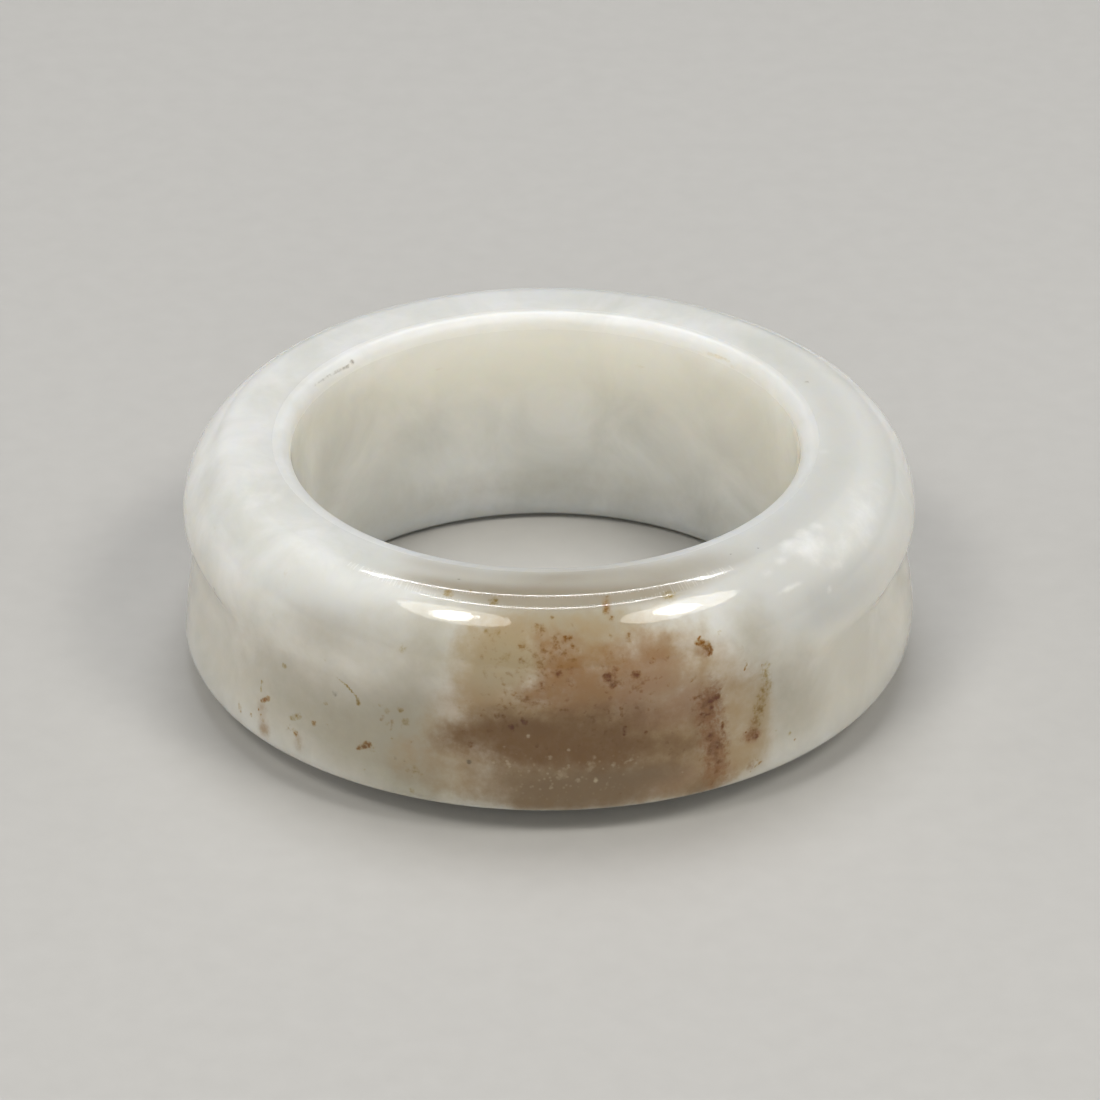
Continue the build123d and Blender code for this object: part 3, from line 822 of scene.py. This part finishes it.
# Glow paints light onto the wall of the hole.
body = stain(body, "glow", "#F4F1E6", clouds, 0.3, 0.0, 1.0)
# Shade is mostly painted shade on the flanks and shoulders, with a little greyer and warmer stone.
body = stain(body, "shade", "#A9A391", grain, 0.3, 0.0, 1.0)
body = stain(body, "dusk", "#9C9586", clouds, 0.4, 0.0, 1.0)
body = stain(body, "tan", "#AB9571", grain, 0.6, 0.05, 0.9)
body = stain(body, "olive", "#AEA287", grain, 0.7, 0.05, 1.0)
body = stain(body, "pink", "#A08264", grain, 0.8, 0.05, 1.0)
body = stain(body, "rust", "#997850", grain, 0.9, 0.05, 0.95)
body = stain(body, "beige", "#7D684C", grain, 0.5, 0.0, 1.0)
body = stain(body, "smoke", "#74552D", grain, 0.8, 0.0, 1.0)
body = stain(body, "umber", "#825624", felt, 1.3, 0.05, 0.9, 0.85)
print(len(stone.nodes), "nodes so far")

# %% [markdown]
# Inside the patches the rust gathers in freckles of about 0.25 mm. They are the peaks of a fine noise,
# cut off at a level that the painted strength lowers. Rust tints the stone that is there, so its
# colour is multiplied with the one below.

# %% Freckles
peaks = put(stone, "ShaderNodeTexNoise", {"Vector": mm, "Scale": 3.8, "Detail": 2.5, "Roughness": 0.55})
body = stain(body, "freckle", "#D0B88C", peaks, 4.0, 0.7, 1.8, 0.9, "MULTIPLY")

# %% [markdown]
# The rusty marks are laid twice: first a soft tint, where the rust has crept into the stone, and then
# the darker heart of the mark. Pits and faint warm specks need one layer. A crumbly noise of about
# 0.17 mm makes the edges ragged.

# %% Lay the marks
crumb = put(stone, "ShaderNodeTexNoise", {"Vector": mm, "Scale": 6.0, "Detail": 2.0, "Roughness": 0.55})
body = stain(body, "olive_mark", "#E0D4AC", crumb, 1.6, 0.0, 0.9, 1.0, "MULTIPLY")
body = stain(body, "olive_mark", "#DAC794", crumb, 2.0, 0.4, 1.3, 1.0, "MULTIPLY")
body = stain(body, "red_mark", "#DCC798", crumb, 1.6, 0.0, 0.9, 1.0, "MULTIPLY")
body = stain(body, "red_mark", "#CE9C58", crumb, 2.2, 0.35, 1.2, 1.0, "MULTIPLY")
body = stain(body, "warm_mark", "#D8C6A0", crumb, 1.0, 0.0, 1.0, 0.7, "MULTIPLY")
body = stain(body, "grey_mark", "#8F8C86", crumb, 1.0, 0.0, 0.9, 0.9, "MULTIPLY")

# %% [markdown]
# Flecks of a paler mineral, about 0.1 mm across, glint in the darkest stain. Beside the charted ones
# there is a dust of finer ones: the centres of small Voronoi cells, kept only where the chart has
# them.

# %% Pale flecks
body = stain(body, "pale_mark", "#BDB092", crumb, 1.0, 0.1, 1.1, 0.85)
cells = put(stone, "ShaderNodeTexVoronoi", {"Vector": mm, "Scale": 4.5, "Randomness": 1.0})
dust = put(stone, "ShaderNodeMapRange",
           {"Value": cells.outputs["Distance"], "From Min": 0.3, "From Max": 0.1, "To Max": 0.4})
where_fleck = put(stone, "ShaderNodeAttribute", attribute_name="fleck")
dust = put(stone, "ShaderNodeMath", {0: dust, 1: where_fleck.outputs["Fac"]}, operation="MULTIPLY")
body = put(stone, "ShaderNodeMix", {"Factor": dust, "A": body, "B": colour("#B0A283")}, data_type="RGBA")

# %% [markdown]
# ## Gloss and fine relief
#
# Polish leaves shallow waves about 1 mm wide, which are a bump of 6 thousandths of a millimetre. The
# wheel that cut the facet chipped its two ridges at about every 0.15 mm. So the gloss on the ridges
# comes and goes along them, which breaks each into beads of light. A ridge is where the stone and the
# cone come within about 0.02 mm of each other, and two masks find that.

# %% Relief and the wheel's marks
CHIPS_A_RADIAN = 150.0    # steps of the noise along the ridges
polish = put(stone, "ShaderNodeBump", {"Strength": 1.0, "Distance": 0.006 * MM, "Height": grain})
axes = put(stone, "ShaderNodeSeparateXYZ", {0: mm})
behind = put(stone, "ShaderNodeMath", {0: axes.outputs["Y"], 1: -1.0}, operation="MULTIPLY")
bearing = put(stone, "ShaderNodeMath", {0: axes.outputs["X"], 1: behind}, operation="ARCTAN2")
along = put(stone, "ShaderNodeMath", {0: bearing, 1: CHIPS_A_RADIAN}, operation="MULTIPLY")
chips = put(stone, "ShaderNodeTexNoise", {"W": along, "Scale": 1.0, "Detail": 1.0}, noise_dimensions="1D")
chips = put(stone, "ShaderNodeMapRange", {"Value": chips, "From Min": 0.5, "From Max": 0.6})
read_cut = put(stone, "ShaderNodeAttribute", attribute_name="facet_cut")
cut_here = put(stone, "ShaderNodeMapRange",
               {"Value": read_cut.outputs["Fac"], "From Min": 0.008, "From Max": 0.02})
near_cut = put(stone, "ShaderNodeMapRange",
               {"Value": read_cut.outputs["Fac"], "From Min": -0.02, "From Max": -0.008})
ridge = put(stone, "ShaderNodeMath", {0: near_cut, 1: cut_here}, operation="SUBTRACT")
chips = put(stone, "ShaderNodeMath", {0: chips, 1: ridge}, operation="MULTIPLY")

# %% [markdown]
# The polish itself is nearly a mirror, with a roughness of 0.02 to 0.05. The facet, its chipped ridges
# and the worn mouth of the hole each add their own to it. Light wanders several millimetres into the
# stone, and red goes farthest.

# %% Roughness and the shader
WHEEL_DULL, CHIP_DULL, WORN_DULL = 0.12, 0.5, 0.45
dull = put(stone, "ShaderNodeMapRange", {"Value": felt, "To Min": 0.02, "To Max": 0.05})
dull = put(stone, "ShaderNodeMath", {0: cut_here, 1: WHEEL_DULL, 2: dull}, operation="MULTIPLY_ADD")
dull = put(stone, "ShaderNodeMath", {0: chips, 1: CHIP_DULL, 2: dull}, operation="MULTIPLY_ADD")
read_worn = put(stone, "ShaderNodeAttribute", attribute_name="worn")
dull = put(stone, "ShaderNodeMath", {0: read_worn.outputs["Fac"], 1: WORN_DULL, 2: dull},
           operation="MULTIPLY_ADD")
skin = put(stone, "ShaderNodeBsdfPrincipled",
           {"Base Color": body, "Roughness": dull, "IOR": 1.61, "Subsurface Weight": 1.0,
            "Subsurface Radius": (1.0, 0.85, 0.65), "Subsurface Scale": 0.006, "Normal": polish})
put(stone, "ShaderNodeOutputMaterial", {"Surface": skin})
print(len(stone.nodes), "nodes make the jade")

# %% [markdown]
# ## The floor
#
# A plain pale floor, matt like coated paper. It is scenery.

# %% Floor
paper = bpy.data.materials.new("matt_coated_paper")
paper.use_nodes = True
sheet = paper.node_tree
sheet.nodes.clear()
lies = put(sheet, "ShaderNodeTexCoord")
fibres = put(sheet, "ShaderNodeTexNoise", {"Vector": lies.outputs["Object"], "Scale": 900.0, "Detail": 3.0})
shade = put(sheet, "ShaderNodeMix", {"Factor": fibres, "A": colour("#BCBBB8"), "B": colour("#C3C2BF")},
            data_type="RGBA")
matt = put(sheet, "ShaderNodeBsdfPrincipled", {"Base Color": shade, "Roughness": 0.75, "IOR": 1.45})
put(sheet, "ShaderNodeOutputMaterial", {"Surface": matt})

wide = 1.5            # metres from its middle to each side
floor_mesh = bpy.data.meshes.new("floor")
floor_mesh.from_pydata([(-wide, -wide, 0), (wide, -wide, 0), (wide, wide, 0), (-wide, wide, 0)], [],
                       [(0, 1, 2, 3)])
floor = bpy.data.objects.new("floor", floor_mesh)
floor.data.materials.append(paper)
bpy.context.scene.collection.objects.link(floor)
print("the floor is", 2 * wide, "m square")

# %% [markdown]
# ## Light
#
# Two oval lamps stand high in front, to the left and the right. The shoulder mirrors each as a long
# soft highlight with a hot core, so each is a wide dim lamp with a small bright one in front of it.
# Two narrow lamps overhead are there for the facet's ridges, which mirror them as thin lines, and they
# light nothing. The fill lamps do the opposite: they light the ring and the floor, and nothing mirrors
# them. Lengths are metres here.


# %% Lamps
WARM, NEAR_WHITE, COOL, COOLER = "#FFFAF0", "#FFFDF8", "#FDFDFF", "#FBFCFF"


def lamp(name, direction, distance, size, radiance, tint, mirrored=True, lights=True):
    """An oval lamp that faces the ring. Radiance is how bright its face is."""
    data = bpy.data.lights.new(name, "AREA")
    data.shape = "ELLIPSE"
    data.size, data.size_y = size
    data.energy = radiance * math.pi * math.pi * size[0] * size[1] / 4
    data.color = colour(tint)[:3]
    light = bpy.data.objects.new(name, data)
    aim = Vector(direction).normalized()
    light.location = aim * distance
    light.rotation_euler = aim.to_track_quat("Z", "Y").to_euler()
    light.visible_glossy = mirrored
    light.visible_diffuse = lights
    bpy.context.scene.collection.objects.link(light)
    print(name, "gives", round(data.energy, 2), "W")


lamp("left_soft", (-0.358, -0.443, 0.822), 0.50, (0.25, 0.168), 4.0, WARM)
lamp("left_core", (-0.358, -0.452, 0.817), 0.49, (0.090, 0.105), 11.0, NEAR_WHITE)
lamp("right_soft", (0.495, -0.348, 0.796), 0.50, (0.287, 0.168), 4.0, WARM)
lamp("right_core", (0.486, -0.356, 0.798), 0.49, (0.092, 0.105), 11.0, NEAR_WHITE)
lamp("top_streak", (0.0, 0.559, 0.829), 0.60, (0.29, 0.08), 22.0, COOLER, lights=False)
lamp("ridge_streak", (0.0, -0.03, 1.0), 0.60, (0.48, 0.06), 22.0, COOLER, lights=False)
lamp("top_fill", (0.0, 0.28, 0.96), 0.60, (0.40, 0.30), 5.0, COOLER, mirrored=False)
lamp("left_fill", (-0.95, -0.05, 0.35), 0.60, (0.5, 0.4), 1.72, COOL, mirrored=False)
lamp("right_fill", (0.95, -0.05, 0.35), 0.60, (0.5, 0.4), 1.25, COOL, mirrored=False)
lamp("front_fill", (0.0, -0.9, 0.43), 0.60, (0.5, 0.3), 1.38, COOL, mirrored=False)

# %% [markdown]
# A dim room fills the darkest shadows. The Standard view shows colours as they are.

# %% The room
world = bpy.data.worlds.new("pale_room")
world.use_nodes = True
world.node_tree.nodes.clear()
glow = put(world.node_tree, "ShaderNodeBackground", {"Color": colour("#F4F2EC"), "Strength": 0.08})
put(world.node_tree, "ShaderNodeOutputWorld", {"Surface": glow})
bpy.context.scene.world = world
bpy.context.scene.view_settings.view_transform = "Standard"
print("the room is", world.name)

# %% [markdown]
# ## Camera
#
# The camera looks down at 30 degrees through a long lens, from about 23 cm. These numbers come from
# fitting circles at the hole and the rims to the photograph.

# %% Camera
TILT = 0.52107        # radians that it looks down
BACK = 0.2302         # metres from the ring, along the way it looks
LIFT = 0.003528       # metres that it is shifted up in its own frame
ASIDE = 0.000163      # and to the right
eye = bpy.data.cameras.new("camera")
eye.sensor_width = 36
eye.lens = 203.96
eye.clip_start = 0.01
eye.clip_end = 5
camera = bpy.data.objects.new("camera", eye)
camera.location = (ASIDE, -BACK * math.cos(TILT) + LIFT * math.sin(TILT),
                   BACK * math.sin(TILT) + LIFT * math.cos(TILT))
camera.rotation_euler = (math.pi / 2 - TILT, 0, 0)
bpy.context.scene.collection.objects.link(camera)
bpy.context.scene.camera = camera
print("the camera looks down by", round(math.degrees(TILT), 1), "degrees")
